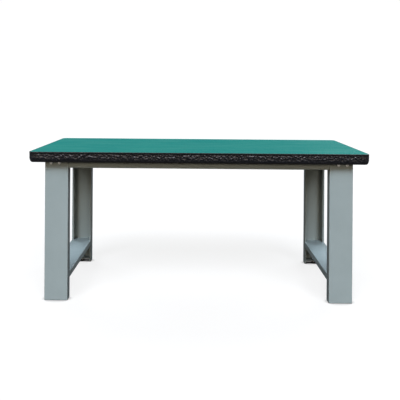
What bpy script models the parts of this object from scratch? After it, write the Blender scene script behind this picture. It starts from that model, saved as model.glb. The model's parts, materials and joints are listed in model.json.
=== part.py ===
"""Heavy-duty workbench: a laminated worktop on a bolted frame of folded steel channels.

Each end of the bench is a welded leg frame of two posts and two crossbars. Two long rails pass
through notches in the posts and are bolted to them. A screwed levelling foot stands under each post.

Frame: origin on the floor under the middle of the worktop, +X to the right of someone who stands
in front of the bench, +Y to its back, +Z up. Lengths are in metres, written as multiples of MM.
"""

import math

import bmesh
import bpy
from mathutils import Vector

MM = 0.001

# Driving dimensions of the bench.
BENCH_WIDTH = 1800 * MM
BENCH_DEPTH = 750 * MM
BENCH_HEIGHT = 800 * MM
FIT_GAP = 0.3 * MM

# Worktop, from the outside in.
TOP_THICKNESS = 50 * MM
TOP_CORNER_RADIUS = 25 * MM
SURFACE_THICKNESS = 2 * MM
SURFACE_EDGE_ROUND = 0.5 * MM
BACKING_THICKNESS = 1 * MM
EDGE_HEIGHT = 56 * MM
EDGE_THICKNESS = 18 * MM
EDGE_LIP_WIDTH = 4 * MM
EDGE_TOP_ROUND = 2 * MM
EDGE_FOOT_WIDTH = 14 * MM
EDGE_FOOT_HEIGHT = 30 * MM

# Folded steel sheet.
SHEET = 2 * MM
BEND_RADIUS = 1.5 * MM

# Posts: lipped channels that stand with their open sides facing each other.
POST_WIDTH = 125 * MM
POST_DEPTH = 50 * MM
POST_LIP = 12 * MM
POST_CENTRE_X = 760 * MM
POST_FLOOR_GAP = 2 * MM
FRONT_OVERHANG = 45 * MM
REAR_OVERHANG = 20 * MM

# Crossbars: channels as wide as the posts, open underneath, with a tongue at each end.
BAR_HEIGHT = 32 * MM
LOWER_BAR_TOP = 142 * MM
TONGUE_WIDTH = 96 * MM
UPPER_TONGUE_LENGTH = 12 * MM

# Rails: channels along the front and back, open towards the middle of the bench.
RAIL_HEIGHT = 40 * MM
RAIL_DEPTH = 30 * MM
RAIL_END_GAP = 2.5 * MM
NOTCH_GAP = 1 * MM

# M8 flange bolts and nuts that hold the rails to the posts.
BOLT_RADIUS = 4 * MM
BOLT_LENGTH = 16 * MM
BOLT_HOLE_RADIUS = 4.5 * MM
BOLT_DROP = 14 * MM
BOLT_OFFSETS = {"inner": 15 * MM, "outer": -30 * MM}
HEAD_ACROSS_FLATS = 13 * MM
HEAD_HEIGHT = 5.5 * MM
COLLAR_RADIUS = 8.5 * MM
COLLAR_HEIGHT = 1.5 * MM
NUT_HEIGHT = 8 * MM
NUT_BORE_RADIUS = 4.3 * MM

# M6 hexagon screws that hold the worktop to the upper crossbars.
SCREW_RADIUS = 3 * MM
SCREW_LENGTH = 27 * MM
SCREW_HOLE_RADIUS = 3.4 * MM
SCREW_ACROSS_FLATS = 10 * MM
SCREW_HEAD_HEIGHT = 4 * MM
SCREW_OFFSET_X = 35 * MM
SCREW_OFFSET_Y = 220 * MM

# Levelling feet: an M10 stud in a nut that is welded to a plate inside the post.
PLATE_THICKNESS = 4 * MM
PLATE_UNDERSIDE = 20 * MM
PLATE_CORNER_CUT = 2 * MM
STUD_RADIUS = 5 * MM
STUD_TOP = 74 * MM
STUD_CHAMFER = 1 * MM
STUD_HOLE_RADIUS = 5.5 * MM
STUD_NUT_ACROSS_FLATS = 17 * MM
STUD_NUT_HEIGHT = 8 * MM
STUD_NUT_BORE_RADIUS = 5.3 * MM
GRIP_ACROSS_FLATS = 14 * MM
GRIP_HEIGHT = 5 * MM
PAD_RADIUS = 20 * MM
PAD_RIM_HEIGHT = 3 * MM
PAD_HEIGHT = 9 * MM
PAD_HUB_RADIUS = 11 * MM
POCKET_RADIUS = 7.3 * MM
POCKET_FLOOR = 3 * MM

# Fineness of curves.
ROUND_STEPS = 24
BEND_STEPS = 3
CORNER_STEPS = 6
SMOOTH_ANGLE = math.radians(35)
WELD_DISTANCE = 1e-6
CUT_MARGIN = 5 * MM

# Places that follow from the dimensions above.
FRAME_TOP = BENCH_HEIGHT - TOP_THICKNESS - FIT_GAP
FRONT_FACE = -BENCH_DEPTH / 2 + FRONT_OVERHANG
REAR_FACE = BENCH_DEPTH / 2 - REAR_OVERHANG
POST_LENGTH = FRAME_TOP - POST_FLOOR_GAP
FOOT_FROM_FACE = POST_DEPTH / 2
BOLT_HEIGHT = FRAME_TOP - BOLT_DROP
UNDERSIDE = BENCH_HEIGHT - TOP_THICKNESS

SIDES = {"left": -1, "right": 1}
ROWS = {"front": (FRONT_FACE, 1), "rear": (REAR_FACE, -1)}


# Outlines: lists of 2-D points, in order round the shape.


def rectangle(low, high):
    return [(low[0], low[1]), (high[0], low[1]), (high[0], high[1]), (low[0], high[1])]


def circle(radius, centre=(0, 0)):
    turns = [math.tau * step / ROUND_STEPS for step in range(ROUND_STEPS)]
    return [(centre[0] + radius * math.cos(t), centre[1] + radius * math.sin(t)) for t in turns]


def hexagon(across_flats):
    corner = across_flats / math.sqrt(3)
    return [(corner * math.cos(math.tau * k / 6), corner * math.sin(math.tau * k / 6)) for k in range(6)]


def corner_stations(width, depth, radius):
    """Pairs of corner centre and outward direction, all the way round a rounded rectangle."""
    stations = []
    for quarter, (side_x, side_y) in enumerate(((1, 1), (-1, 1), (-1, -1), (1, -1))):
        centre = Vector((side_x * (width / 2 - radius), side_y * (depth / 2 - radius)))
        for step in range(CORNER_STEPS + 1):
            angle = math.radians(90) * (quarter + step / CORNER_STEPS)
            stations.append((centre, Vector((math.cos(angle), math.sin(angle)))))
    return stations


def rounded_rectangle(width, depth, radius):
    return [centre + radius * outward for centre, outward in corner_stations(width, depth, radius)]


def folded_strip(corners):
    """Outline of a sheet folded at right angles. corners are on the middle line of its thickness."""
    middle_radius = BEND_RADIUS + SHEET / 2
    points = [Vector(corner) for corner in corners]
    track = [(points[0], (points[1] - points[0]).normalized())]
    for before, corner, after in zip(points, points[1:], points[2:]):
        into = (corner - before).normalized()
        out = (after - corner).normalized()
        centre = corner + (out - into) * middle_radius
        for step in range(BEND_STEPS + 1):
            turn = math.radians(90) * step / BEND_STEPS
            spoke = into * math.sin(turn) - out * math.cos(turn)
            heading = into * math.cos(turn) + out * math.sin(turn)
            track.append((centre + spoke * middle_radius, heading))
    track.append((points[-1], (points[-1] - points[-2]).normalized()))
    left = [place + SHEET / 2 * Vector((-heading.y, heading.x)) for place, heading in track]
    right = [place - SHEET / 2 * Vector((-heading.y, heading.x)) for place, heading in track]
    return left + right[::-1]


# Meshes.


def finished(bm, name):
    bmesh.ops.recalc_face_normals(bm, faces=bm.faces)
    mesh = bpy.data.meshes.new(name)
    bm.to_mesh(mesh)
    bm.free()
    return mesh


def prism(name, outline, low, high, along="Z"):
    """An outline drawn across an axis and extruded along it, from low to high.

    The outline's two coordinates are X and Y along Z, X and Z along Y, and Y and Z along X.
    """
    point = {
        "X": lambda a, b, c: (c, a, b),
        "Y": lambda a, b, c: (a, c, b),
        "Z": lambda a, b, c: (a, b, c),
    }[along]
    bm = bmesh.new()
    near = bm.faces.new([bm.verts.new(point(a, b, low)) for a, b in outline])
    grown = bmesh.ops.extrude_face_region(bm, geom=[near])["geom"]
    far_verts = [item for item in grown if isinstance(item, bmesh.types.BMVert)]
    bmesh.ops.translate(bm, vec=point(0, 0, high - low), verts=far_verts)
    return finished(bm, name)


def turned(name, profile):
    """A solid of revolution round Z. The profile of (radius, z) points starts and ends on the axis."""
    bm = bmesh.new()
    verts = [bm.verts.new((radius, 0, z)) for radius, z in profile]
    edges = [bm.edges.new(pair) for pair in zip(verts, verts[1:])]
    bmesh.ops.spin(
        bm, geom=verts + edges, cent=(0, 0, 0), axis=(0, 0, 1), angle=math.tau, steps=ROUND_STEPS
    )
    bmesh.ops.remove_doubles(bm, verts=bm.verts, dist=WELD_DISTANCE)
    return finished(bm, name)


def swept_ring(name, section, width, depth, radius):
    """A closed section of (offset outwards, z) points, carried round a rounded rectangle."""
    bm = bmesh.new()
    rings = []
    for centre, outward in corner_stations(width, depth, radius):
        places = [centre + (radius + offset) * outward for offset, _ in section]
        rings.append([bm.verts.new((p.x, p.y, z)) for p, (_, z) in zip(places, section)])
    for ring, next_ring in zip(rings, rings[1:] + rings[:1]):
        for k in range(len(section)):
            after = (k + 1) % len(section)
            bm.faces.new((ring[k], ring[after], next_ring[after], next_ring[k]))
    return finished(bm, name)


def combined(operation, mesh, others):
    """The mesh after a Boolean with each of the others, as a new mesh with no modifiers left."""
    collection = bpy.context.scene.collection
    body = bpy.data.objects.new("boolean_body", mesh)
    helpers = [bpy.data.objects.new("boolean_helper", other) for other in others]
    for obj in (body, *helpers):
        collection.objects.link(obj)
    for helper in helpers:
        modifier = body.modifiers.new("combine", "BOOLEAN")
        modifier.operation = operation
        modifier.solver = "EXACT"
        modifier.object = helper
    graph = bpy.context.evaluated_depsgraph_get()
    result = bpy.data.meshes.new_from_object(body.evaluated_get(graph))
    for obj in (body, *helpers):
        bpy.data.objects.remove(obj)
    return result


def cut(mesh, cutters):
    return combined("DIFFERENCE", mesh, cutters)


def joined(mesh, others):
    return combined("UNION", mesh, others)


# Objects.


def material(name, colour, roughness, metallic=0.0):
    made = bpy.data.materials.new(name)
    made.use_nodes = True
    shader = made.node_tree.nodes["Principled BSDF"]
    shader.inputs["Base Color"].default_value = (*colour, 1)
    shader.inputs["Roughness"].default_value = roughness
    shader.inputs["Metallic"].default_value = metallic
    return made


def group(name, location=(0, 0, 0)):
    empty = bpy.data.objects.new(name, None)
    empty.location = location
    bpy.context.scene.collection.objects.link(empty)
    return empty


def place(name, mesh, finish, parent, location=(0, 0, 0), facing=1):
    """Puts a mesh in its group. A facing of -1 turns it half a turn round Z, to face the front."""
    if not mesh.materials:
        mesh.materials.append(finish)
        mesh.shade_smooth()
        mesh.set_sharp_from_angle(angle=SMOOTH_ANGLE)
    obj = bpy.data.objects.new(name, mesh)
    obj.parent = parent
    obj.location = location
    obj.rotation_euler.z = 0 if facing == 1 else math.pi
    bpy.context.scene.collection.objects.link(obj)
    return obj


# Sub-parts. A post and what is bolted to it are drawn for the front row: Y = 0 on the post's
# outer face, +Y into the bench. The rear row uses the same meshes, turned half a turn.


def screw_places():
    """(side name, row name, which) and the place in X and Y of each worktop screw."""
    places = {}
    for side, side_x in SIDES.items():
        for row, (_, facing) in ROWS.items():
            for which, offset in (("inner", -SCREW_OFFSET_X), ("outer", SCREW_OFFSET_X)):
                x = side_x * (POST_CENTRE_X + offset)
                places[side, row, which] = (x, -facing * SCREW_OFFSET_Y)
    return places


def screw_hole_cutters(low, high):
    return [
        prism("screw_hole", circle(SCREW_HOLE_RADIUS, centre), low, high)
        for centre in screw_places().values()
    ]


def worktop_surface_mesh():
    """The wearing sheet, which lies flush inside the edge's lip and has an eased upper edge."""
    inset = EDGE_LIP_WIDTH + FIT_GAP
    outline = rounded_rectangle(
        BENCH_WIDTH - 2 * inset, BENCH_DEPTH - 2 * inset, TOP_CORNER_RADIUS - inset
    )
    mesh = prism("surface", outline, BENCH_HEIGHT - SURFACE_THICKNESS, BENCH_HEIGHT)
    bm = bmesh.new()
    bm.from_mesh(mesh)
    rim = [e for e in bm.edges if all(v.co.z > BENCH_HEIGHT - WELD_DISTANCE for v in e.verts)]
    bmesh.ops.bevel(bm, geom=rim, offset=SURFACE_EDGE_ROUND, segments=2, affect="EDGES", profile=0.5)
    return finished(bm, "surface")


def core_outline():
    inset = EDGE_THICKNESS
    return rounded_rectangle(
        BENCH_WIDTH - 2 * inset, BENCH_DEPTH - 2 * inset, TOP_CORNER_RADIUS - inset
    )


def worktop_core_mesh():
    low = UNDERSIDE + BACKING_THICKNESS + FIT_GAP
    high = BENCH_HEIGHT - SURFACE_THICKNESS - FIT_GAP
    screw_end = FRAME_TOP - SHEET + SCREW_LENGTH
    holes = screw_hole_cutters(low - CUT_MARGIN, screw_end + FIT_GAP)
    return cut(prism("core", core_outline(), low, high), holes)


def worktop_backing_mesh():
    low = UNDERSIDE
    high = low + BACKING_THICKNESS
    sheet = prism("backing", core_outline(), low, high)
    return cut(sheet, screw_hole_cutters(low - CUT_MARGIN, high + CUT_MARGIN))


def edge_section():
    """Section of the moulded edge: a lip round the sheet, an upright face and a foot curved in.

    The foot hangs a little below the underside of the top and hides its joint with the frame.
    """
    inner = FIT_GAP - EDGE_THICKNESS
    bottom = BENCH_HEIGHT - EDGE_HEIGHT
    shelf = BENCH_HEIGHT - SURFACE_THICKNESS - FIT_GAP
    top = BENCH_HEIGHT
    section = [(inner, bottom), (inner, shelf), (-EDGE_LIP_WIDTH, shelf), (-EDGE_LIP_WIDTH, top)]
    for step in range(BEND_STEPS + 1):
        turn = math.radians(90) * step / BEND_STEPS
        offset = EDGE_TOP_ROUND * (math.sin(turn) - 1)
        section.append((offset, top - EDGE_TOP_ROUND * (1 - math.cos(turn))))
    for step in range(CORNER_STEPS + 1):
        turn = math.radians(90) * step / CORNER_STEPS
        drop = EDGE_FOOT_HEIGHT * (1 - math.sin(turn))
        section.append((EDGE_FOOT_WIDTH * (math.cos(turn) - 1), bottom + drop))
    return section


def post_mesh(notch_side):
    """A post, with bolt holes near its top and its inner flange notched for the rail."""
    wall = POST_WIDTH / 2 - SHEET / 2
    lip_end = POST_WIDTH / 2 - POST_LIP
    lip_y = POST_DEPTH - SHEET / 2
    half = [(wall, SHEET / 2), (wall, lip_y), (lip_end, lip_y)]
    corners = [(-x, y) for x, y in reversed(half)] + half
    channel = prism("post", folded_strip(corners), 0, POST_LENGTH)

    notch_floor = POST_LENGTH - RAIL_HEIGHT - NOTCH_GAP
    notch_depth = SHEET + FIT_GAP + RAIL_DEPTH + NOTCH_GAP
    near_x = notch_side * (POST_WIDTH / 2 - SHEET - 2 * BEND_RADIUS)
    far_x = notch_side * (POST_WIDTH / 2 + CUT_MARGIN)
    notch = rectangle((min(near_x, far_x), SHEET), (max(near_x, far_x), notch_depth))
    cutters = [prism("notch", notch, notch_floor, POST_LENGTH + CUT_MARGIN)]
    for offset in BOLT_OFFSETS.values():
        hole = circle(BOLT_HOLE_RADIUS, (notch_side * offset, POST_LENGTH - BOLT_DROP))
        cutters.append(prism("bolt_hole", hole, -CUT_MARGIN, SHEET + CUT_MARGIN, along="Y"))
    return cut(channel, cutters)


def crossbar_mesh(tongue_length, screwed):
    """A crossbar with its top face at Z = 0, drawn round X = 0. Only its tongues enter the posts."""
    wall = POST_WIDTH / 2 - SHEET / 2
    corners = [(-wall, -BAR_HEIGHT), (-wall, -SHEET / 2), (wall, -SHEET / 2), (wall, -BAR_HEIGHT)]
    front_end = FRONT_FACE + POST_DEPTH + FIT_GAP
    rear_end = REAR_FACE - POST_DEPTH - FIT_GAP
    front_tip = front_end - tongue_length
    rear_tip = rear_end + tongue_length
    channel = prism("crossbar", folded_strip(corners), front_tip, rear_tip, along="Y")

    cutters = []
    for low, high in ((front_tip - CUT_MARGIN, front_end), (rear_end, rear_tip + CUT_MARGIN)):
        for near, far in ((TONGUE_WIDTH / 2, POST_WIDTH), (-POST_WIDTH, -TONGUE_WIDTH / 2)):
            corner_cut = rectangle((near, low), (far, high))
            cutters.append(prism("corner_cut", corner_cut, -2 * BAR_HEIGHT, CUT_MARGIN))
    if screwed:
        for x in (-SCREW_OFFSET_X, SCREW_OFFSET_X):
            for y in (-SCREW_OFFSET_Y, SCREW_OFFSET_Y):
                hole = circle(SCREW_HOLE_RADIUS, (x, y))
                cutters.append(prism("screw_hole", hole, -SHEET - CUT_MARGIN, CUT_MARGIN))
    return cut(channel, cutters)


def rail_mesh():
    """A rail with its bolted face at Y = 0, its underside at Z = 0 and its middle at X = 0."""
    half_length = POST_CENTRE_X + POST_WIDTH / 2 - SHEET - RAIL_END_GAP
    low = SHEET / 2
    high = RAIL_HEIGHT - SHEET / 2
    corners = [(RAIL_DEPTH, low), (SHEET / 2, low), (SHEET / 2, high), (RAIL_DEPTH, high)]
    channel = prism("rail", folded_strip(corners), -half_length, half_length, along="X")
    holes = []
    for side_x in SIDES.values():
        for offset in BOLT_OFFSETS.values():
            centre = (side_x * (POST_CENTRE_X - offset), RAIL_HEIGHT - BOLT_DROP)
            hole = circle(BOLT_HOLE_RADIUS, centre)
            holes.append(prism("bolt_hole", hole, -CUT_MARGIN, SHEET + CUT_MARGIN, along="Y"))
    return cut(channel, holes)


def bolt_mesh():
    """A flange bolt along Y. The underside of its head is at Y = 0 and its shank runs to +Y."""
    shank = prism("bolt", circle(BOLT_RADIUS), -COLLAR_HEIGHT / 2, BOLT_LENGTH, along="Y")
    collar = prism("collar", circle(COLLAR_RADIUS), -COLLAR_HEIGHT, 0, along="Y")
    head_top = -COLLAR_HEIGHT - HEAD_HEIGHT
    head = prism("head", hexagon(HEAD_ACROSS_FLATS), head_top, -COLLAR_HEIGHT / 2, along="Y")
    return joined(shank, [collar, head])


def nut_mesh():
    """A flange nut along Y, with its flange's face at Y = 0."""
    collar = prism("nut", circle(COLLAR_RADIUS), 0, COLLAR_HEIGHT, along="Y")
    body = prism("body", hexagon(HEAD_ACROSS_FLATS), COLLAR_HEIGHT / 2, NUT_HEIGHT, along="Y")
    bore = prism("bore", circle(NUT_BORE_RADIUS), -CUT_MARGIN, NUT_HEIGHT + CUT_MARGIN, along="Y")
    return cut(joined(collar, [body]), [bore])


def screw_mesh():
    """A worktop screw along Z. The top of its head is at Z = 0 and its shank runs upwards."""
    shank = prism("screw", circle(SCREW_RADIUS), -SCREW_HEAD_HEIGHT / 2, SCREW_LENGTH)
    head = prism("head", hexagon(SCREW_ACROSS_FLATS), -SCREW_HEAD_HEIGHT, 0)
    return joined(shank, [head])


def base_plate_mesh():
    """The plate that closes a post above the floor, drawn round its levelling foot's axis."""
    half_x = POST_WIDTH / 2 - SHEET - FIT_GAP
    half_y = POST_DEPTH / 2 - SHEET - FIT_GAP
    cut_x = half_x - PLATE_CORNER_CUT
    cut_y = half_y - PLATE_CORNER_CUT
    quarter = [(half_x, cut_y), (cut_x, half_y)]
    right = [(x, -y) for x, y in reversed(quarter)] + quarter
    outline = right + [(-x, -y) for x, y in right]
    plate = prism("base_plate", outline, 0, PLATE_THICKNESS)
    hole = prism("hole", circle(STUD_HOLE_RADIUS), -CUT_MARGIN, PLATE_THICKNESS + CUT_MARGIN)
    return cut(plate, [hole])


def weld_nut_mesh():
    body = prism("weld_nut", hexagon(STUD_NUT_ACROSS_FLATS), 0, STUD_NUT_HEIGHT)
    bore = circle(STUD_NUT_BORE_RADIUS)
    return cut(body, [prism("bore", bore, -CUT_MARGIN, STUD_NUT_HEIGHT + CUT_MARGIN)])


def stud_mesh():
    """A levelling stud: a heel that turns in the pad, a hexagonal grip and a chamfered shank."""
    heel_radius = POCKET_RADIUS - FIT_GAP
    grip_low = PAD_HEIGHT + FIT_GAP
    grip_high = grip_low + GRIP_HEIGHT
    grip_middle = (grip_low + grip_high) / 2
    profile = [
        (0, POCKET_FLOOR + FIT_GAP),
        (heel_radius - STUD_CHAMFER, POCKET_FLOOR + FIT_GAP),
        (heel_radius, POCKET_FLOOR + FIT_GAP + STUD_CHAMFER),
        (heel_radius, grip_middle),
        (STUD_RADIUS, grip_middle),
        (STUD_RADIUS, STUD_TOP - STUD_CHAMFER),
        (STUD_RADIUS - STUD_CHAMFER, STUD_TOP),
        (0, STUD_TOP),
    ]
    grip = prism("grip", hexagon(GRIP_ACROSS_FLATS), grip_low, grip_high)
    return joined(turned("stud", profile), [grip])


def pad_mesh():
    """A round foot pad with a flat rim, a domed shoulder and a pocket for the stud's heel."""
    profile = [(0, 0), (PAD_RADIUS, 0), (PAD_RADIUS, PAD_RIM_HEIGHT)]
    for step in range(1, CORNER_STEPS + 1):
        turn = math.radians(90) * step / CORNER_STEPS
        radius = PAD_HUB_RADIUS + (PAD_RADIUS - PAD_HUB_RADIUS) * (1 - math.sin(turn))
        height = PAD_HEIGHT - (PAD_HEIGHT - PAD_RIM_HEIGHT) * math.cos(turn)
        profile.append((radius, height))
    profile += [(POCKET_RADIUS, PAD_HEIGHT), (POCKET_RADIUS, POCKET_FLOOR), (0, POCKET_FLOOR)]
    return turned("pad", profile)


# Assemblies.


def build_worktop(finishes):
    worktop = group("worktop")
    place("worktop_surface", worktop_surface_mesh(), finishes["surface"], worktop)
    place("worktop_core", worktop_core_mesh(), finishes["core"], worktop)
    place("worktop_backing", worktop_backing_mesh(), finishes["backing"], worktop)
    edge = swept_ring("edge", edge_section(), BENCH_WIDTH, BENCH_DEPTH, TOP_CORNER_RADIUS)
    place("worktop_edge", edge, finishes["edge"], worktop)
    screw = screw_mesh()
    head_seat = FRAME_TOP - SHEET - FIT_GAP
    for (side, row, which), (x, y) in screw_places().items():
        name = f"{side}_{row}_worktop_screw_{which}"
        place(name, screw, finishes["zinc"], worktop, (x, y, head_seat))


def build_leg_frames(finishes):
    posts = {notch_side: post_mesh(notch_side) for notch_side in (1, -1)}
    reach = POST_DEPTH - SHEET
    lower_bar = crossbar_mesh(reach, screwed=False)
    upper_bar = crossbar_mesh(UPPER_TONGUE_LENGTH, screwed=True)
    plate = base_plate_mesh()
    weld_nut = weld_nut_mesh()
    nut_seat = PLATE_UNDERSIDE + PLATE_THICKNESS + FIT_GAP
    for side, side_x in SIDES.items():
        frame = group(f"{side}_leg_frame", (side_x * POST_CENTRE_X, 0, 0))
        for row, (face, facing) in ROWS.items():
            post = posts[-side_x * facing]
            steel = finishes["steel"]
            place(f"{side}_{row}_post", post, steel, frame, (0, face, POST_FLOOR_GAP), facing)
            foot_y = face + facing * FOOT_FROM_FACE
            place(f"{side}_{row}_base_plate", plate, steel, frame, (0, foot_y, PLATE_UNDERSIDE))
            place(f"{side}_{row}_weld_nut", weld_nut, finishes["zinc"], frame, (0, foot_y, nut_seat))
        place(f"{side}_lower_crossbar", lower_bar, steel, frame, (0, 0, LOWER_BAR_TOP))
        place(f"{side}_upper_crossbar", upper_bar, steel, frame, (0, 0, FRAME_TOP))


def build_rails(finishes):
    rail = rail_mesh()
    bolt = bolt_mesh()
    nut = nut_mesh()
    for row, (face, facing) in ROWS.items():
        bolted_face = face + facing * (SHEET + FIT_GAP)
        rail_floor = FRAME_TOP - RAIL_HEIGHT
        rails = group(f"{row}_rail_set")
        place(f"{row}_rail", rail, finishes["steel"], rails, (0, bolted_face, rail_floor), facing)
        head_seat = face - facing * FIT_GAP
        nut_seat = bolted_face + facing * (SHEET + FIT_GAP)
        for side, side_x in SIDES.items():
            for which, offset in BOLT_OFFSETS.items():
                x = side_x * (POST_CENTRE_X - offset)
                zinc = finishes["zinc"]
                place(f"{side}_{row}_bolt_{which}", bolt, zinc, rails, (x, head_seat, BOLT_HEIGHT), facing)
                place(f"{side}_{row}_nut_{which}", nut, zinc, rails, (x, nut_seat, BOLT_HEIGHT), facing)


def build_feet(finishes):
    """Each foot's group stands on the axis that its stud turns round and its pad travels along."""
    stud = stud_mesh()
    pad = pad_mesh()
    for side, side_x in SIDES.items():
        for row, (face, facing) in ROWS.items():
            foot_y = face + facing * FOOT_FROM_FACE
            foot = group(f"{side}_{row}_foot", (side_x * POST_CENTRE_X, foot_y, 0))
            place(f"{side}_{row}_foot_pad", pad, finishes["nylon"], foot)
            place(f"{side}_{row}_foot_stud", stud, finishes["zinc"], foot)


def clear_scene():
    for obj in list(bpy.data.objects):
        bpy.data.objects.remove(obj)


def main():
    clear_scene()
    finishes = {
        "surface": material("green_laminate", (0.030, 0.270, 0.235), 0.38),
        "edge": material("black_moulded_edge", (0.018, 0.018, 0.020), 0.55),
        "core": material("particle_board", (0.420, 0.290, 0.170), 0.85),
        "backing": material("backing_sheet", (0.550, 0.530, 0.490), 0.60),
        "steel": material("grey_powder_coat", (0.330, 0.385, 0.400), 0.48),
        "zinc": material("zinc_plate", (0.620, 0.630, 0.640), 0.32, metallic=1.0),
        "nylon": material("black_nylon", (0.020, 0.020, 0.022), 0.50),
    }
    build_worktop(finishes)
    build_leg_frames(finishes)
    build_rails(finishes)
    build_feet(finishes)


main()
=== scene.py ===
"""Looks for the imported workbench: fine meshes, procedural materials, a plain studio and the camera.

Lengths are in metres, written as multiples of MM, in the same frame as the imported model.
"""

import json
import math
import random

import bpy
import numpy as np
from mathutils import Matrix, Vector, noise

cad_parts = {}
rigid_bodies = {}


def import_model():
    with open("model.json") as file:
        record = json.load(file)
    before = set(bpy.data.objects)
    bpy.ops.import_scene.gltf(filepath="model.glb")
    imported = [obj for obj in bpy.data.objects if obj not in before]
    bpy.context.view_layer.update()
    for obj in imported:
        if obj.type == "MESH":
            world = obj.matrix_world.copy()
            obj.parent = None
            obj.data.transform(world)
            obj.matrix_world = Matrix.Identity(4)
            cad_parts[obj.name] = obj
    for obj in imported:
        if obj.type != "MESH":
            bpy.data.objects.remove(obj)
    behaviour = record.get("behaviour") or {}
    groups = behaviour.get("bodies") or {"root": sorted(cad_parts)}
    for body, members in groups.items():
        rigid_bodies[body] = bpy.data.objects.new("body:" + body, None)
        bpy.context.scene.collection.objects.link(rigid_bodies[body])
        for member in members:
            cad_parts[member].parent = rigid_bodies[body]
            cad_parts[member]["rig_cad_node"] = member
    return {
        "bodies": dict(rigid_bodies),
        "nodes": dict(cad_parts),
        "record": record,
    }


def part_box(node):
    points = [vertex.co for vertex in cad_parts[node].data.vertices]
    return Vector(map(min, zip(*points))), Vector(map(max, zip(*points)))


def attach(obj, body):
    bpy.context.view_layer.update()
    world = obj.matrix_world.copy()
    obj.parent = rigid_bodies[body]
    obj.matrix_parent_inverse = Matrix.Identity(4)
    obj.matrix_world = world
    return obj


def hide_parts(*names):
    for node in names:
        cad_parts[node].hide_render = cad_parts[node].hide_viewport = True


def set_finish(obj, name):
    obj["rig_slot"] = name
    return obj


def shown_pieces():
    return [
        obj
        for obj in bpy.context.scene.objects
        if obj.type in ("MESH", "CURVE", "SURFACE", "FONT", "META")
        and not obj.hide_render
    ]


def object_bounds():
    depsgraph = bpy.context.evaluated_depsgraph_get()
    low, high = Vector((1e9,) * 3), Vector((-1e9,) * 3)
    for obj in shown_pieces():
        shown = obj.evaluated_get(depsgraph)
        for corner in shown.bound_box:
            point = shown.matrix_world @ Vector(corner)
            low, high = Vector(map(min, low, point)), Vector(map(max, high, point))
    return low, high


MM = 0.001
QUARTER = math.radians(90)
ENDS = (-0.5, 0.5)
SEED = 7

SIDES = ("left", "right")
ROWS = ("front", "rear")
PLACES = ("inner", "outer")

# Fineness of the meshes.
COLUMNS = 48
THREAD_STEPS = 8
BEAD_STEP = 0.5 * MM
EDGE_STEP = 2 * MM
SMOOTH_ANGLE = math.radians(35)
RELIEF_SMOOTH_ANGLE = math.radians(80)

# Moulded edge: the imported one's section.
CORNER_RADIUS = 25 * MM
EDGE_THICKNESS = 17.7 * MM
LIP_WIDTH = 4 * MM
SHELF_DROP = 2.3 * MM
TOP_ROUND = 2 * MM
FOOT_WIDTH = 14 * MM
FOOT_HEIGHT = 30 * MM
RIM_STEPS = 4
FOOT_STEPS = 14

# Relief of the edge's face: chips knapped out of it as from stone, with smaller grit among them.
# Each scallop is steepness * size * (SCALLOP_RIM - distance ** 2) deep, where the distance to its
# middle is counted in sizes. CHIP_DEPTH is the most that both may cut together. CHIP_STRETCH makes
# the scallops wider than tall, and CHIP_WARP bends them by a share of a chip's size.
CHIP_SIZE = 13 * MM
CHIP_STEEPNESS = 0.5
CHIP_STRETCH = 1.6
CHIP_WARP = 0.5
CHIP_DEPTH = 4 * MM
GRIT_SIZE = 7 * MM
GRIT_STEEPNESS = 0.3
SCALLOP_RIM = 0.6

# Where the relief fades: under the smooth rim, round the foot and towards the corners. A share is
# of the relief's full depth, and FOOT_FADE_END is a share of the way round the foot.
RIM_HEIGHT = 7 * MM
RIM_FADE = 3 * MM
FOOT_FADE_END = 0.7
FOOT_SHARE = 0.05
CORNER_FADE = (15 * MM, 70 * MM)
CORNER_SHARE = 0.25

# Sheet edges of the folded steel.
SHEET = 2 * MM
SHEET_EDGE_ROUND = 0.35 * MM
MERGE_DISTANCE = 0.01 * MM
BEVEL_ANGLE = math.radians(40)
BEVEL_SEGMENTS = 2

# Fasteners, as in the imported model. A share is of the feature's own size.
HEAD_CHAMFER = math.radians(30)
HEAD_FACE_SHARE = math.cos(math.radians(15))
COLLAR_EASE = 0.2
COLLAR_RIM = 0.5
COLLAR_TOP = 0.7
THREAD_DEPTH = 0.6
BORE_SINK = 0.12
BOLT = {"flats": 13 * MM, "head": 5.5 * MM, "collar": 8.5 * MM, "collar_height": 1.5 * MM,
        "shank": 4 * MM, "length": 16 * MM, "pitch": 1.25 * MM}
SCREW = {"flats": 10 * MM, "head": 4 * MM, "collar": 0, "collar_height": 0,
         "shank": 3 * MM, "length": 27 * MM, "pitch": 2.4 * MM}
RAIL_NUT = {"flats": 13 * MM, "height": 8 * MM, "collar": 8.5 * MM, "collar_height": 1.5 * MM,
            "bore": 4.3 * MM}
WELD_NUT = {"flats": 17 * MM, "height": 8 * MM, "collar": 0, "collar_height": 0, "bore": 5.3 * MM}

# Levelling feet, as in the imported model.
STUD_RADIUS = 5 * MM
STUD_PITCH = 1.5 * MM
HEEL_RADIUS = 7 * MM
HEEL_HEIGHT = 6 * MM
GRIP_FLATS = 14 * MM
GRIP_HEIGHT = 5 * MM
GRIP_CHAMFER = 0.6 * MM
PAD_RADIUS = 20 * MM
PAD_RIM = 3 * MM
PAD_HUB = 11 * MM
PAD_EASE = 0.3 * MM
PAD_RIM_EASE = 0.4 * MM
PAD_SHOULDER = 1.5 * MM
PAD_RIBS = 24
PAD_RIB_DEPTH = 0.6 * MM
PAD_STEPS = 8
POCKET_RADIUS = 7.3 * MM
POCKET_FLOOR = 3 * MM
SOLE_SHARE = 0.8
POCKET_SHARE = 0.5

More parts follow.
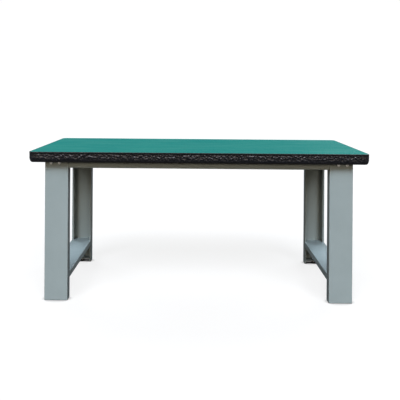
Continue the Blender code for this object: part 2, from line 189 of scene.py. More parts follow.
# Welds. BEAD_TIP is the least share of the radius at a bead's ends, and each tack's place is a share
# of its base plate's width.
BEAD_RADIUS = 1.8 * MM
BEAD_RIPPLE = 0.25 * MM
BEAD_PITCH = 2.6 * MM
BEAD_TIP = 0.1
TONGUE_WIDTH = 96 * MM
WEB_WELD_LENGTH = 0.96 * TONGUE_WIDTH
LIP_WELD = (3 * MM, 13 * MM)
TACK_LENGTH = 14 * MM
TACK_PLACES = {"a": 0.25, "b": 0.75}

# Colours, in pairs that a finish blends from place to place.
GREEN_SHADES = ((0.017, 0.184, 0.166), (0.026, 0.198, 0.174))
GREEN_SPECK = (0.042, 0.280, 0.245)
BLACK_SHADES = ((0.005, 0.006, 0.009), (0.010, 0.011, 0.015))
# Painted highlight: the paler colour on the crest of each chip stands in for the gloss that catches
# the light there.
BLACK_CREST_HIGHLIGHT = (0.100, 0.102, 0.124)
GREY_SHADES = ((0.304, 0.369, 0.390), (0.322, 0.390, 0.412))
ZINC_SHADES = ((0.78, 0.87, 0.96), (0.86, 0.91, 0.94))
NYLON_SHADES = ((0.014, 0.014, 0.015), (0.028, 0.028, 0.030))
WOOD_SHADES = ((0.30, 0.19, 0.10), (0.55, 0.40, 0.24))
BACKING_SHADES = ((0.40, 0.37, 0.32), (0.48, 0.45, 0.39))
BACKING_FIBRE = (0.33, 0.30, 0.25)

# Ranges of a noise's values: most of them, and the middle ones for a stronger contrast.
MOST = (0.3, 0.7)
MIDDLE = (0.35, 0.65)

# Sockets of a Mix node that blends colours.
MIX_COLOURS = (6, 7)
MIX_RESULT = 2

# Studio: (azimuth from the front, elevation, spread) in degrees, strength and colour of each light.
DAYLIGHT = (0.975, 1.015, 1.085)
WARM_LIGHT = (1.0, 0.81, 0.62)
COOL_LIGHT = (0.93, 1.0, 1.06)
LIGHTS = {
    "key_left": (-28, 45, 25, 1.22, DAYLIGHT),
    "key_right": (28, 45, 25, 1.22, DAYLIGHT),
    "high_left": (-19, 60, 30, 0.66, DAYLIGHT),
    "high_right": (19, 60, 30, 0.66, DAYLIGHT),
    "low_left": (-17, 16, 20, 0.46, WARM_LIGHT),
    "low_right": (17, 16, 20, 0.46, WARM_LIGHT),
    "back_left": (-135, 45, 25, 0.84, COOL_LIGHT),
    "back_right": (135, 45, 25, 0.84, COOL_LIGHT),
}

# The sky's brightness for each kind of ray. SOFT_BOX is a soft light that only reflections show,
# with its angles in degrees.
SKY_AS_SEEN = 0.83
SKY_AS_LIGHT = 0.02
SKY_IN_GLOSS = 0.45
SOFT_BOX = {"azimuth": 143, "elevation": 10, "reach": 30, "strength": 1.8}

# The floor: its brightness and colours, and the reach and range of the shade close to the bench.
FLOOR_GLOW = 0.68
FLOOR_AS_SEEN = (0.13, 0.13, 0.13)
FLOOR_AS_LIGHT = (0.09, 0.06, 0.035)
FLOOR_SIZE = 60
FLOOR_GAP = 2 * MM
CONTACT_REACH = 60 * MM
CONTACT_RANGE = (0.1, 0.8)

WHITE = (1, 1, 1, 1)
VIEW_GAMMA = 0.8
VIEW_EXPOSURE = 0.28

# Camera: its place and lens, with the lens shifted to keep upright edges parallel.
CAMERA_PLACE = (-0.0108, -3.189, 1.1522)
CAMERA_TURN = (QUARTER, -0.0068, 0.0118)
CAMERA_LENS = 48.18
CAMERA_SENSOR = 36
CAMERA_SHIFT = {"shift_x": 0.0231, "shift_y": -0.2848}

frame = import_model()
cad_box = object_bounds()
nodes = frame["nodes"]
chance = random.Random(SEED)
noise.seed_set(SEED)


# Meshes.


def new_piece(name, mesh, slot, body, place=Matrix(), stands_for=()):
    """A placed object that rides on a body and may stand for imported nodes."""
    obj = bpy.data.objects.new(name, mesh)
    bpy.context.scene.collection.objects.link(obj)
    obj.matrix_world = place
    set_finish(obj, slot)
    if stands_for:
        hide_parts(*stands_for)
    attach(obj, body)


def grid_mesh(name, rings, hollow, smooth_angle=SMOOTH_ANGLE):
    """A closed mesh from rings of points. A hollow one joins its last ring to its first."""
    count, columns = rings.shape[:2]
    rows = count if hollow else count - 1
    faces = []
    for row in range(rows):
        here = row * columns
        there = (row + 1) % count * columns
        for column in range(columns):
            beside = (column + 1) % columns
            faces.append((here + column, here + beside, there + beside, there + column))
    if not hollow:
        faces.append(tuple(range(columns))[::-1])
        faces.append(tuple(range((count - 1) * columns, count * columns)))
    mesh = bpy.data.meshes.new(name)
    mesh.from_pydata(rings.reshape(-1, 3), [], faces)
    mesh.shade_smooth()
    mesh.set_sharp_from_angle(angle=smooth_angle)
    return mesh


ANGLES = np.arange(COLUMNS) * math.tau / COLUMNS


def ring(radius, z):
    """A ring of points round Z. The radius and the height may differ from column to column."""
    radius = np.broadcast_to(radius, COLUMNS)
    height = np.broadcast_to(z, COLUMNS)
    return np.column_stack((radius * np.cos(ANGLES), radius * np.sin(ANGLES), height))


def turned_mesh(name, rings, hollow=False):
    """A mesh from rings listed from the bottom outwards and up."""
    return grid_mesh(name, np.array(rings), hollow)


def hexagon_radius(flats):
    """Radius of a hexagon at each column."""
    sixth = math.tau / 6
    return flats / 2 / np.cos((ANGLES + sixth / 2) % sixth - sixth / 2)


def chamfered_hexagon(flats, low, high, chamfer_low=False):
    """Rings up a hexagon whose ends are turned to a cone, as on a nut."""
    corner = hexagon_radius(flats)
    circle = flats / 2 * HEAD_FACE_SHARE
    drop = (corner - circle) * math.tan(HEAD_CHAMFER)
    rings = [ring(corner, high - drop), ring(circle, high)]
    if chamfer_low:
        return [ring(circle, low), ring(corner, low + drop)] + rings
    return [ring(corner, low)] + rings


def collar_rings(sizes, low):
    """Rings up the round flange under a hexagon, with an eased rim and a sloping top."""
    if not sizes["collar"]:
        return []
    rim = sizes["collar"]
    height = sizes["collar_height"]
    ease = COLLAR_EASE * height
    return [
        ring(rim - ease, low),
        ring(rim, low + ease),
        ring(rim, low + COLLAR_RIM * height),
        ring(rim - ease, low + COLLAR_TOP * height),
    ]


def thread_rings(radius, pitch, low, high):
    """Rings up a right-hand thread that runs out in a chamfer at both ends."""
    depth = THREAD_DEPTH * pitch
    rings = []
    for z in np.arange(low, high, pitch / THREAD_STEPS):
        phase = (z / pitch - ANGLES / math.tau) % 1
        crest = radius - depth * abs(2 * phase - 1)
        run_out = radius - depth + min(z - low, high - z)
        rings.append(ring(np.minimum(crest, run_out), z))
    return rings


def bolt_mesh(name, sizes):
    """A bolt along Z with the top of its head at Z = 0 and its shank below."""
    seat = -sizes["head"] - sizes["collar_height"]
    tip = seat - sizes["length"]
    rings = thread_rings(sizes["shank"], sizes["pitch"], tip, seat)
    rings += collar_rings(sizes, seat)
    rings += chamfered_hexagon(sizes["flats"], seat + sizes["collar_height"], 0)
    return turned_mesh(name, rings)


def nut_mesh(name, sizes):
    """A nut along Z with its top at Z = 0 and a countersunk bore."""
    seat = -sizes["height"]
    sink = BORE_SINK * sizes["bore"]
    rings = [
        ring(sizes["bore"] + sink, 0),
        ring(sizes["bore"], -sink),
        ring(sizes["bore"], seat + sink),
        ring(sizes["bore"] + sink, seat),
    ]
    flat_seat = not sizes["collar"]
    rings += collar_rings(sizes, seat)
    rings += chamfered_hexagon(sizes["flats"], seat + sizes["collar_height"], 0, flat_seat)
    return turned_mesh(name, rings, hollow=True)


def stud_mesh(low, high):
    """A levelling stud along Z: a round heel, a hexagonal grip and a threaded shank."""
    grip_low = low + HEEL_HEIGHT
    grip_high = grip_low + GRIP_HEIGHT
    rings = [
        ring(HEEL_RADIUS - GRIP_CHAMFER, low),
        ring(HEEL_RADIUS, low + GRIP_CHAMFER),
        ring(HEEL_RADIUS, grip_low),
    ]
    rings += chamfered_hexagon(GRIP_FLATS, grip_low, grip_high)
    rings += thread_rings(STUD_RADIUS, STUD_PITCH, grip_high, high)
    return turned_mesh("stud", rings)


def pad_mesh(height):
    """A round pad with a ribbed rim, a domed shoulder and a pocket for the stud's heel."""
    ribs = 0.5 + 0.5 * np.sign(np.cos(PAD_RIBS * ANGLES))
    ribbed = PAD_RADIUS - PAD_RIB_DEPTH * ribs
    rings = [
        ring(SOLE_SHARE * PAD_RADIUS, 0),
        ring(ribbed - PAD_EASE, 0),
        ring(ribbed, PAD_EASE),
        ring(ribbed, PAD_RIM - PAD_RIM_EASE),
        ring(ribbed - PAD_RIM_EASE, PAD_RIM),
    ]
    for step in range(1, PAD_STEPS + 1):
        turn = QUARTER * step / PAD_STEPS
        radius = PAD_HUB + (PAD_RADIUS - PAD_SHOULDER - PAD_HUB) * (1 - math.sin(turn))
        rings.append(ring(radius, height - (height - PAD_RIM) * math.cos(turn)))
    rings += [
        ring(POCKET_RADIUS + PAD_EASE, height),
        ring(POCKET_RADIUS, height - PAD_EASE),
        ring(POCKET_RADIUS, POCKET_FLOOR),
        ring(POCKET_SHARE * POCKET_RADIUS, POCKET_FLOOR),
    ]
    return turned_mesh("pad", rings)


def bead_mesh(length):
    """A weld bead along Z, with the ripples of its pools and rounded ends."""
    rings = []
    for z in np.arange(0, length, BEAD_STEP):
        to_end = min(z, length - z) / BEAD_RADIUS
        ending = math.sqrt(1 - (1 - min(to_end, 1)) ** 2)
        ripple = BEAD_RIPPLE * abs(math.sin(math.pi * z / BEAD_PITCH))
        rings.append(ring(max(BEAD_TIP, ending) * (BEAD_RADIUS - BEAD_RIPPLE + ripple), z))
    return turned_mesh("bead", rings)


# Moulded edge.


def smooth_step(low, high, value):
    """0 below low, 1 above high and a smooth rise between them."""
    share = min(max((value - low) / (high - low), 0), 1)
    return share * share * (3 - 2 * share)


def edge_path(low, high):
    """Points round the plan of the top, each with its outward direction."""
    middle = (low + high) / 2
    half = (high - low) / 2
    inset = Vector((half.x - CORNER_RADIUS, half.y - CORNER_RADIUS))
    path = []
    signs = ((1, 1), (-1, 1), (-1, -1), (1, -1))
    turn_steps = math.ceil(QUARTER * CORNER_RADIUS / EDGE_STEP)
    for quarter, (side_x, side_y) in enumerate(signs):
        centre = Vector((middle.x + side_x * inset.x, middle.y + side_y * inset.y))
        for step in range(turn_steps + 1):
            angle = QUARTER * (quarter + step / turn_steps)
            outward = Vector((math.cos(angle), math.sin(angle)))
            path.append((centre + CORNER_RADIUS * outward, outward))
        next_x, next_y = signs[(quarter + 1) % len(signs)]
        there = Vector((middle.x + next_x * inset.x, middle.y + next_y * inset.y))
        run = (there - centre).length
        straight_steps = math.floor(run / EDGE_STEP)
        for step in range(1, straight_steps):
            place = centre.lerp(there, step / straight_steps)
            path.append((place + CORNER_RADIUS * outward, outward))
    return path


def edge_section(low, high):
    """(offset outwards, height, share of relief) points, from the lip over the face to the foot."""
    section = [(-LIP_WIDTH, high, 0)]
    for step in range(RIM_STEPS + 1):
        turn = QUARTER * step / RIM_STEPS
        offset = TOP_ROUND * (math.sin(turn) - 1)
        section.append((offset, high - TOP_ROUND * (1 - math.cos(turn)), 0))
    face_low = low + FOOT_HEIGHT
    face_steps = math.floor((high - TOP_ROUND - face_low) / EDGE_STEP)
    for step in range(1, face_steps):
        z = high - TOP_ROUND + (face_low - high + TOP_ROUND) * step / face_steps
        fade = smooth_step(RIM_HEIGHT - RIM_FADE, RIM_HEIGHT + RIM_FADE, high - z)
        section.append((0, z, fade))
    for step in range(FOOT_STEPS + 1):
        turn = QUARTER * step / FOOT_STEPS
        offset = FOOT_WIDTH * (math.cos(turn) - 1)
        z = face_low - FOOT_HEIGHT * math.sin(turn)
        share = 1 - (1 - FOOT_SHARE) * smooth_step(0, FOOT_FADE_END, step / FOOT_STEPS)
        section.append((offset, z, share * smooth_step(0, RIM_FADE, z - low)))
    shelf = high - SHELF_DROP
    return section + [(-EDGE_THICKNESS, low, 0), (-EDGE_THICKNESS, shelf, 0), (-LIP_WIDTH, shelf, 0)]


def scallops(spot, size, steepness):
    """Depth of a surface knapped into scallops of about this size, which meet at sharp ridges."""
    nearest = noise.voronoi(spot / size)[0][0]
    return steepness * size * max(SCALLOP_RIM - nearest ** 2, 0)


def chip_depth(place):
    """How far the knapped surface lies behind the smooth one."""
    spot = Vector((place.x, place.y, CHIP_STRETCH * place.z))
    spot += CHIP_WARP * CHIP_SIZE * noise.noise_vector(spot / CHIP_SIZE)
    depth = scallops(spot, CHIP_SIZE, CHIP_STEEPNESS) + scallops(spot, GRIT_SIZE, GRIT_STEEPNESS)
    return min(depth, CHIP_DEPTH)


def edge_mesh(low, high):
    """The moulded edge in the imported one's box, its face cut inwards by the relief."""
    middle = (low + high) / 2
    half = (high - low) / 2
    section = edge_section(low.z, high.z)
    profile = np.array([(offset, z) for offset, z, _ in section])
    along = np.roll(profile, -1, axis=0) - np.roll(profile, 1, axis=0)
    normals = np.column_stack((-along[:, 1], along[:, 0]))
    normals /= np.linalg.norm(normals, axis=1)[:, None]
    rings = []
    for place, outward in edge_path(low, high):
        corner = max(half.x - abs(place.x - middle.x), half.y - abs(place.y - middle.y))
        near_corner = CORNER_SHARE + (1 - CORNER_SHARE) * smooth_step(*CORNER_FADE, corner)
        points = []
        for (offset, z, share), (out, up) in zip(section, normals):
            depth = 0
            if share:
                depth = share * near_corner * chip_depth(Vector((*place, z)))
            reach = offset - depth * out
            points.append((place.x + reach * outward.x, place.y + reach * outward.y, z - depth * up))
        rings.append(points)
    return grid_mesh("edge", np.array(rings), hollow=True, smooth_angle=RELIEF_SMOOTH_ANGLE)


# Placing.


def face_centre(node, direction):
    """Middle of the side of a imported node's box that faces this way."""
    low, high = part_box(node)
    half = (high - low) / 2
    return (low + high) / 2 + Vector(h * d for h, d in zip(half, direction))


def stand_for(node, mesh, slot, body, direction, turn=0.0):
    """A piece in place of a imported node, its +Z along direction, its top on that side's middle."""
    aim = Vector(direction).to_track_quat("Z", "Y").to_matrix().to_4x4()
    at = Matrix.Translation(face_centre(node, direction))
    place = at @ aim @ Matrix.Rotation(turn, 4, "Z")
    new_piece(f"{node}_fine", mesh, slot, body, place, [node])


def place_fasteners():
    bolt = bolt_mesh("bolt", BOLT)
    screw = bolt_mesh("screw", SCREW)
    rail_nut = nut_mesh("rail_nut", RAIL_NUT)
    weld_nut = nut_mesh("weld_nut", WELD_NUT)
    for side in SIDES:
        for row in ROWS:
            out = Vector((0, -1 if row == "front" else 1, 0))
            corner = f"{side}_{row}"
            turn = chance.uniform(0, math.tau)
            stand_for(f"{corner}_weld_nut", weld_nut, "zinc_plate", "bench", (0, 0, 1), turn)
            for which in PLACES:
                for node, mesh, facing in (
                    (f"{corner}_bolt_{which}", bolt, out),
                    (f"{corner}_nut_{which}", rail_nut, -out),
                    (f"{corner}_worktop_screw_{which}", screw, (0, 0, -1)),
                ):
                    turn = chance.uniform(0, math.tau)
                    stand_for(node, mesh, "zinc_plate", "bench", facing, turn)


def place_feet():
    low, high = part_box("left_front_foot_stud")
    stud = stud_mesh(low.z - high.z, 0)
    low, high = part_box("left_front_foot_pad")
    pad = pad_mesh(high.z - low.z)
    pad.transform(Matrix.Translation((0, 0, low.z - high.z)))
    for side in SIDES:
        for row in ROWS:
            corner = f"{side}_{row}"
            stand_for(f"{corner}_foot_stud", stud, "zinc_plate", f"{corner}_stud", (0, 0, 1))
            stand_for(f"{corner}_foot_pad", pad, "black_nylon", f"{corner}_pad", (0, 0, 1))


def place_bead(name, start, end):
    """A weld bead from one point to another."""
    along = Vector(end) - Vector(start)
    aim = along.to_track_quat("Z", "Y").to_matrix().to_4x4()
    place = Matrix.Translation(start) @ aim
    new_piece(name, bead_mesh(along.length), "grey_powder_coat", "bench", place)


def place_post_welds(side, row):
    """Beads where the lower crossbar's tongue meets a post, and tacks under its base plate."""
    corner = f"{side}_{row}"
    low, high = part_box(f"{corner}_post")
    bar_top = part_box(f"{side}_lower_crossbar")[1].z
    outer_face, inward = (low.y, 1) if row == "front" else (high.y, -1)
    web = outer_face + inward * SHEET
    open_side = outer_face + inward * (high.y - low.y)
    middle = (low.x + high.x) / 2
    left_end, right_end = (middle + share * WEB_WELD_LENGTH for share in ENDS)
    place_bead(f"{corner}_web_weld", (left_end, web, bar_top), (right_end, web, bar_top))
    for which, edge, into in (("left", low.x, 1), ("right", high.x, -1)):
        start, end = ((edge + into * reach, open_side, bar_top) for reach in LIP_WELD)
        place_bead(f"{corner}_lip_weld_{which}", start, end)
    plate_low, plate_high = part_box(f"{corner}_base_plate")
    for which, share in TACK_PLACES.items():
        x = plate_low.x + share * (plate_high.x - plate_low.x)
        start, end = ((x + half * TACK_LENGTH, web, plate_low.z) for half in ENDS)
        place_bead(f"{corner}_plate_tack_{which}", start, end)


def place_welds():
    for side in SIDES:
        for row in ROWS:
            place_post_welds(side, row)


def place_edge():
    low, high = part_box("worktop_edge")
    mesh = edge_mesh(low, high)
    new_piece("worktop_edge_fine", mesh, "black_edge", "bench", stands_for=["worktop_edge"])


def ease_sheet_edges():
    """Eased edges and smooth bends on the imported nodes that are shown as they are."""
    for name, obj in nodes.items():
        if obj.hide_render:
            continue
        packed_normals = obj.data.attributes.get("custom_normal")
        if packed_normals:
            obj.data.attributes.remove(packed_normals)
        obj.data.shade_smooth()
        joined = obj.modifiers.new("join", "WELD")
        joined.merge_threshold = MERGE_DISTANCE
        eased = obj.modifiers.new("ease", "BEVEL")
        eased.width = SHEET_EDGE_ROUND
        eased.segments = BEVEL_SEGMENTS
        eased.limit_method = "ANGLE"
        eased.angle_limit = BEVEL_ANGLE
        shaded = obj.modifiers.new("shade", "WEIGHTED_NORMAL")
        shaded.keep_sharp = False


# Materials.


class Finish:
    """A Principled material and short calls that add procedural nodes to it."""

    def __init__(self, name, metallic=0.0, specular=0.5):
        self.material = bpy.data.materials.new(name)
        self.material.use_nodes = True
        self.tree = self.material.node_tree
        self.shader = self.tree.nodes["Principled BSDF"]
        self.shader.inputs["Metallic"].default_value = metallic
        self.shader.inputs["Specular IOR Level"].default_value = specular
        self.place = self.add("ShaderNodeTexCoord").outputs["Object"]

    def add(self, kind, **inputs):
        """A new node with its inputs set or linked."""
        node = self.tree.nodes.new(kind)
        for name, value in inputs.items():
            self.feed(node.inputs[name.replace("_", " ")], value)
        return node

    def feed(self, socket, value):
        if isinstance(value, bpy.types.NodeSocket):
            self.tree.links.new(value, socket)
        else:
            socket.default_value = value

    def scaled(self, scale):
        """The place, stretched by a factor for each axis."""
        mapping = self.add("ShaderNodeMapping", Vector=self.place)
        mapping.inputs["Scale"].default_value = scale
        return mapping.outputs["Vector"]

    def noise(self, size, detail=2.0, stretch=None, roughness=0.5):
        """Noise from 0 to 1 with features of about this size."""
        place = self.scaled(stretch) if stretch else self.place
        node = self.add(
            "ShaderNodeTexNoise", Vector=place, Scale=1 / size, Detail=detail, Roughness=roughness
        )
        return node.outputs["Fac"]

    def cells(self, size, output="Distance"):
        """Voronoi cells of about this size: the distance to a middle, or one colour for each cell."""
        node = self.add("ShaderNodeTexVoronoi", Vector=self.place, Scale=1 / size)
        return node.outputs[output]

    def spread(self, value, given, wanted=(0, 1)):
        """A value moved from a given range to a wanted one and kept inside it."""
        node = self.add("ShaderNodeMapRange", Value=value)
        ends = ("From Min", "From Max", "To Min", "To Max")
        for end, limit in zip(ends, (*given, *wanted)):
            self.feed(node.inputs[end], limit)
        return node.outputs["Result"]

    def blend(self, share, first, second):
        """The first colour where share is 0 and the second where it is 1."""
        node = self.tree.nodes.new("ShaderNodeMix")
        node.data_type = "RGBA"
        self.feed(node.inputs["Factor"], share)
        for index, colour in zip(MIX_COLOURS, (first, second)):
            given = colour if isinstance(colour, bpy.types.NodeSocket) else (*colour, 1)
            self.feed(node.inputs[index], given)
        return node.outputs[MIX_RESULT]

    def bump(self, height, depth, below=None):
        """Bumps as deep as depth, on top of other bumps."""
        node = self.add("ShaderNodeBump", Height=height, Distance=depth, Strength=1.0)
        if below:
            self.tree.links.new(below, node.inputs["Normal"])
        return node.outputs["Normal"]

    def wear(self, colour, roughness, normal=None):
        """Gives the shader its inputs and returns the finished material."""
        self.tree.links.new(colour, self.shader.inputs["Base Color"])
        self.feed(self.shader.inputs["Roughness"], roughness)
        if normal:
            self.tree.links.new(normal, self.shader.inputs["Normal"])
        return self.material


def green_laminate():
    """Satin green sheet with a fine pebbled grain, faint clouds and rubbed patches."""
    finish = Finish("green_laminate", specular=0.04)
    clouds = finish.noise(size=420 * MM, detail=3)
    colour = finish.blend(finish.spread(clouds, MIDDLE), *GREEN_SHADES)
    specks = finish.spread(finish.cells(size=1.6 * MM), given=(0, 0.18), wanted=(0.25, 0))
    colour = finish.blend(specks, colour, GREEN_SPECK)
    rubbed = finish.noise(size=60 * MM, detail=4, stretch=(0.25, 1, 1))
    roughness = finish.spread(rubbed, MOST, wanted=(0.50, 0.64))
    normal = finish.bump(finish.noise(size=0.9 * MM), depth=0.02 * MM)
    return finish.wear(colour, roughness, normal)


def black_edge():
    """Black moulding with a painted highlight on the crest of each chip and a fine grit below its
    smooth rim.
    """
    finish = Finish("black_edge")
    height = finish.add("ShaderNodeSeparateXYZ", Vector=finish.place).outputs["Z"]
    rim_low = cad_box[1][2] - RIM_HEIGHT
    textured = finish.spread(height, given=(rim_low, rim_low + RIM_FADE), wanted=(1, 0))
    grain = finish.spread(finish.noise(size=7 * MM, detail=3), given=(0.4, 0.7), wanted=(0, 0.5))
    colour = finish.blend(grain, *BLACK_SHADES)
    # Painted highlight: a paler colour on the sharp crest of each chip, below the smooth rim, stands
    # in for its gloss.
    pointiness = finish.add("ShaderNodeNewGeometry").outputs["Pointiness"]
    crest_highlight = finish.spread(pointiness, given=(0.50, 0.56), wanted=(0, 0.7))
    colour = finish.blend(finish.spread(crest_highlight, (0, 1), (0, textured)), colour, BLACK_CREST_HIGHLIGHT)
    roughness = finish.spread(finish.noise(size=3 * MM), MOST, wanted=(0.24, 0.38))
    grit = finish.spread(finish.cells(size=3.5 * MM), (0, 1), (0, textured))
    chipped = finish.bump(grit, depth=0.5 * MM)
    normal = finish.bump(finish.noise(size=1.1 * MM, detail=3), depth=0.06 * MM, below=chipped)
    return finish.wear(colour, roughness, normal)


def grey_powder_coat():
    """Satin blue-grey powder coat: orange peel, faint clouds and a few dust nibs."""
    finish = Finish("grey_powder_coat", specular=0.3)
    clouds = finish.spread(finish.noise(size=160 * MM, detail=3), MIDDLE)
    colour = finish.blend(clouds, *GREY_SHADES)
    roughness = finish.spread(finish.noise(size=25 * MM, detail=3), MOST, wanted=(0.44, 0.56))
    peel = finish.bump(finish.noise(size=2.4 * MM), depth=0.05 * MM)
    nibs = finish.spread(finish.cells(size=26 * MM), given=(0, 0.018), wanted=(1, 0))
    normal = finish.bump(nibs, depth=0.10 * MM, below=peel)
    return finish.wear(colour, roughness, normal)


def zinc_plate():
    """Bright zinc with the slight blue and yellow bloom of its passivation."""
    finish = Finish("zinc_plate", metallic=0.3)
    bloom = finish.spread(finish.noise(size=5 * MM, detail=3), MIDDLE)
    colour = finish.blend(bloom, *ZINC_SHADES)
    roughness = finish.spread(finish.noise(size=1.5 * MM, detail=4), MOST, wanted=(0.24, 0.42))
    normal = finish.bump(finish.noise(size=0.5 * MM, detail=3), depth=0.012 * MM)
    return finish.wear(colour, roughness, normal)


def black_nylon():
    """Matt moulded nylon with a fine spark texture."""
    finish = Finish("black_nylon")
    colour = finish.blend(finish.noise(size=8 * MM), *NYLON_SHADES)
    roughness = finish.spread(finish.noise(size=2 * MM), MOST, wanted=(0.48, 0.64))
    normal = finish.bump(finish.noise(size=0.4 * MM, detail=3), depth=0.03 * MM)
    return finish.wear(colour, roughness, normal)


def particle_board():
    """Pressed wood chips of several browns."""
    finish = Finish("particle_board", specular=0.2)
    chips = finish.cells(size=3 * MM, output="Color")
    shade = finish.add("ShaderNodeRGBToBW", Color=chips).outputs["Val"]
    colour = finish.blend(shade, *WOOD_SHADES)
    normal = finish.bump(finish.cells(size=2 * MM), depth=0.15 * MM)
    return finish.wear(colour, roughness=0.85, normal=normal)


def backing_sheet():
    """Off-white paper-faced sheet with a faint fibre."""
    finish = Finish("backing_sheet", specular=0.3)
    fibre = finish.noise(size=2.5 * MM, detail=4, stretch=(0.2, 1, 1))
    colour = finish.blend(finish.noise(size=130 * MM, detail=3), *BACKING_SHADES)
    fibre_share = finish.spread(fibre, given=(0.45, 0.75), wanted=(0, 0.35))
    colour = finish.blend(fibre_share, colour, BACKING_FIBRE)
    normal = finish.bump(fibre, depth=0.04 * MM)
    return finish.wear(colour, roughness=0.7, normal=normal)


def paint_pieces():
    """One finish for each material slot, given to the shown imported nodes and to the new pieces."""
    finishes = {
        "green_surface": green_laminate(),
        "black_edge": black_edge(),
        "particle_board": particle_board(),
        "backing_sheet": backing_sheet(),
        "grey_powder_coat": grey_powder_coat(),
        "zinc_plate": zinc_plate(),
        "black_nylon": black_nylon(),
    }
    slots = {row["node"]: row["material_slot"] for row in frame["record"]["subparts"]}
    for name, obj in nodes.items():
        obj.material_slots[0].material = finishes[slots[name]]
    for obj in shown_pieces():
        if "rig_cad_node" not in obj and not obj.data.materials:
            obj.data.materials.append(finishes[obj["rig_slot"]])


# Studio.


def follow(target, channel, index, objects, axis, expression):
    """Drives a channel by where some objects stand along an axis."""
    driver = target.driver_add(channel, index).driver
    for name, obj in objects.items():
        entry = driver.variables.new()
        entry.name = name
        entry.type = "TRANSFORMS"
        entry.targets[0].id = obj
        entry.targets[0].transform_type = axis
        entry.targets[0].transform_space = "WORLD_SPACE"
    driver.expression = expression


def direction(azimuth, elevation):
    """Unit vector towards a place in the studio, with the azimuth measured from the front."""
    around, up = math.radians(azimuth), math.radians(elevation)
    return Vector((math.sin(around) * math.cos(up), -math.cos(around) * math.cos(up), math.sin(up)))


def make_floor():
    """A plain pale floor that stays under the lowest foot when the feet are screwed out.

    The camera sees it nearly burnt out, as in a picture with the background knocked out, with
    shade only close to the bench. It gives the bench little light back.
    """
    half = FLOOR_SIZE / 2
    mesh = bpy.data.meshes.new("floor")
    corners = [(-half, -half, 0), (half, -half, 0), (half, half, 0), (-half, half, 0)]
    mesh.from_pydata(corners, [], [(0, 1, 2, 3)])
    floor = bpy.data.objects.new("floor", mesh)
    bpy.context.scene.collection.objects.link(floor)
    mesh.materials.append(pale_floor())
    feet = {f"{side}_{row}": frame["bodies"][f"{side}_{row}_pad"] for side in SIDES for row in ROWS}
    follow(floor, "location", 2, feet, "LOC_Z", f"min({', '.join(feet)}, {FLOOR_GAP})")


def pale_floor():
    """White with contact shade to the camera, dark and warm as a source of light."""
    finish = Finish("pale_floor", specular=0.0)
    ray = finish.add("ShaderNodeLightPath").outputs
    colour = finish.blend(ray["Is Diffuse Ray"], FLOOR_AS_SEEN, FLOOR_AS_LIGHT)
    contact = finish.add("ShaderNodeAmbientOcclusion", Distance=CONTACT_REACH).outputs["AO"]
    glow = finish.add("ShaderNodeMath")
    glow.operation = "MULTIPLY"
    finish.feed(glow.inputs[0], finish.spread(contact, CONTACT_RANGE, (0, FLOOR_GLOW)))
    finish.feed(glow.inputs[1], ray["Is Camera Ray"])
    finish.feed(finish.shader.inputs["Emission Strength"], glow.outputs["Value"])
    finish.feed(finish.shader.inputs["Emission Color"], WHITE)
    return finish.wear(colour, roughness=1.0)


def soft_box(tree):
    """Brightness of the sky in reflections: even, with a soft light low behind the bench's right."""
    facing = tree.nodes.new("ShaderNodeVectorMath")
    facing.operation = "DOT_PRODUCT"
    facing.inputs[1].default_value = direction(SOFT_BOX["azimuth"], SOFT_BOX["elevation"])
    place = tree.nodes.new("ShaderNodeTexCoord").outputs["Generated"]
    tree.links.new(place, facing.inputs[0])
    brightness = tree.nodes.new("ShaderNodeMapRange")
    brightness.interpolation_type = "SMOOTHSTEP"
    brightness.inputs["From Min"].default_value = math.cos(math.radians(SOFT_BOX["reach"]))
    brightness.inputs["From Max"].default_value = 1
    brightness.inputs["To Min"].default_value = SKY_IN_GLOSS
    brightness.inputs["To Max"].default_value = SKY_IN_GLOSS + SOFT_BOX["strength"]
    tree.links.new(facing.outputs["Value"], brightness.inputs["Value"])
    return brightness.outputs["Result"]


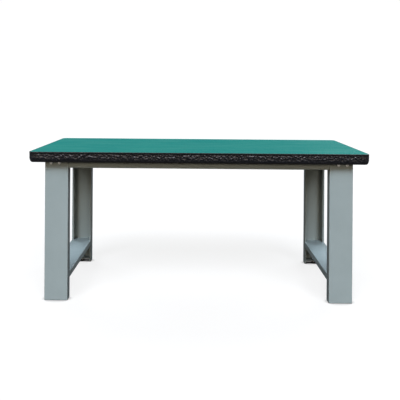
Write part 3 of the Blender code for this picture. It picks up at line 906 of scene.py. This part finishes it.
def make_sky():
    """White where the camera sees it, grey in reflections and nearly dark as a light."""
    world = bpy.data.worlds.new("studio")
    bpy.context.scene.world = world
    world.use_nodes = True
    world.cycles.sampling_method = "NONE"
    tree = world.node_tree
    ray = tree.nodes.new("ShaderNodeLightPath").outputs
    in_gloss = tree.nodes.new("ShaderNodeMix")
    in_gloss.inputs["A"].default_value = SKY_AS_LIGHT
    tree.links.new(soft_box(tree), in_gloss.inputs["B"])
    tree.links.new(ray["Is Glossy Ray"], in_gloss.inputs["Factor"])
    as_seen = tree.nodes.new("ShaderNodeMix")
    as_seen.inputs["B"].default_value = SKY_AS_SEEN
    tree.links.new(in_gloss.outputs["Result"], as_seen.inputs["A"])
    tree.links.new(ray["Is Camera Ray"], as_seen.inputs["Factor"])
    background = tree.nodes["Background"]
    background.inputs["Color"].default_value = WHITE
    tree.links.new(as_seen.outputs["Result"], background.inputs["Strength"])


def make_lights():
    for name, (azimuth, elevation, spread, strength, colour) in LIGHTS.items():
        data = bpy.data.lights.new(name, "SUN")
        data.angle = math.radians(spread)
        data.energy = strength
        data.color = colour
        light = bpy.data.objects.new(name, data)
        light.rotation_euler = direction(azimuth, elevation).to_track_quat("Z", "Y").to_euler()
        bpy.context.scene.collection.objects.link(light)


def make_studio():
    make_floor()
    make_sky()
    make_lights()
    view = bpy.context.scene.view_settings
    view.view_transform = "Standard"
    view.gamma = VIEW_GAMMA
    view.exposure = VIEW_EXPOSURE


def make_camera():
    """The camera, with a driver that shifts its lens only while it stands at its own place.

    A view from any other place then keeps the bench in the middle of the picture.
    """
    data = bpy.data.cameras.new("camera")
    data.lens = CAMERA_LENS
    data.sensor_width = CAMERA_SENSOR
    camera = bpy.data.objects.new("camera", data)
    camera.location = CAMERA_PLACE
    camera.rotation_euler = CAMERA_TURN
    bpy.context.scene.collection.objects.link(camera)
    bpy.context.scene.camera = camera
    for channel, shift in CAMERA_SHIFT.items():
        at_home = f"{shift} if abs(place - {CAMERA_PLACE[1]}) < {MM} else 0"
        follow(data, channel, -1, {"place": camera}, "LOC_Y", at_home)


place_edge()
place_fasteners()
place_feet()
place_welds()
ease_sheet_edges()
paint_pieces()
make_studio()
make_camera()
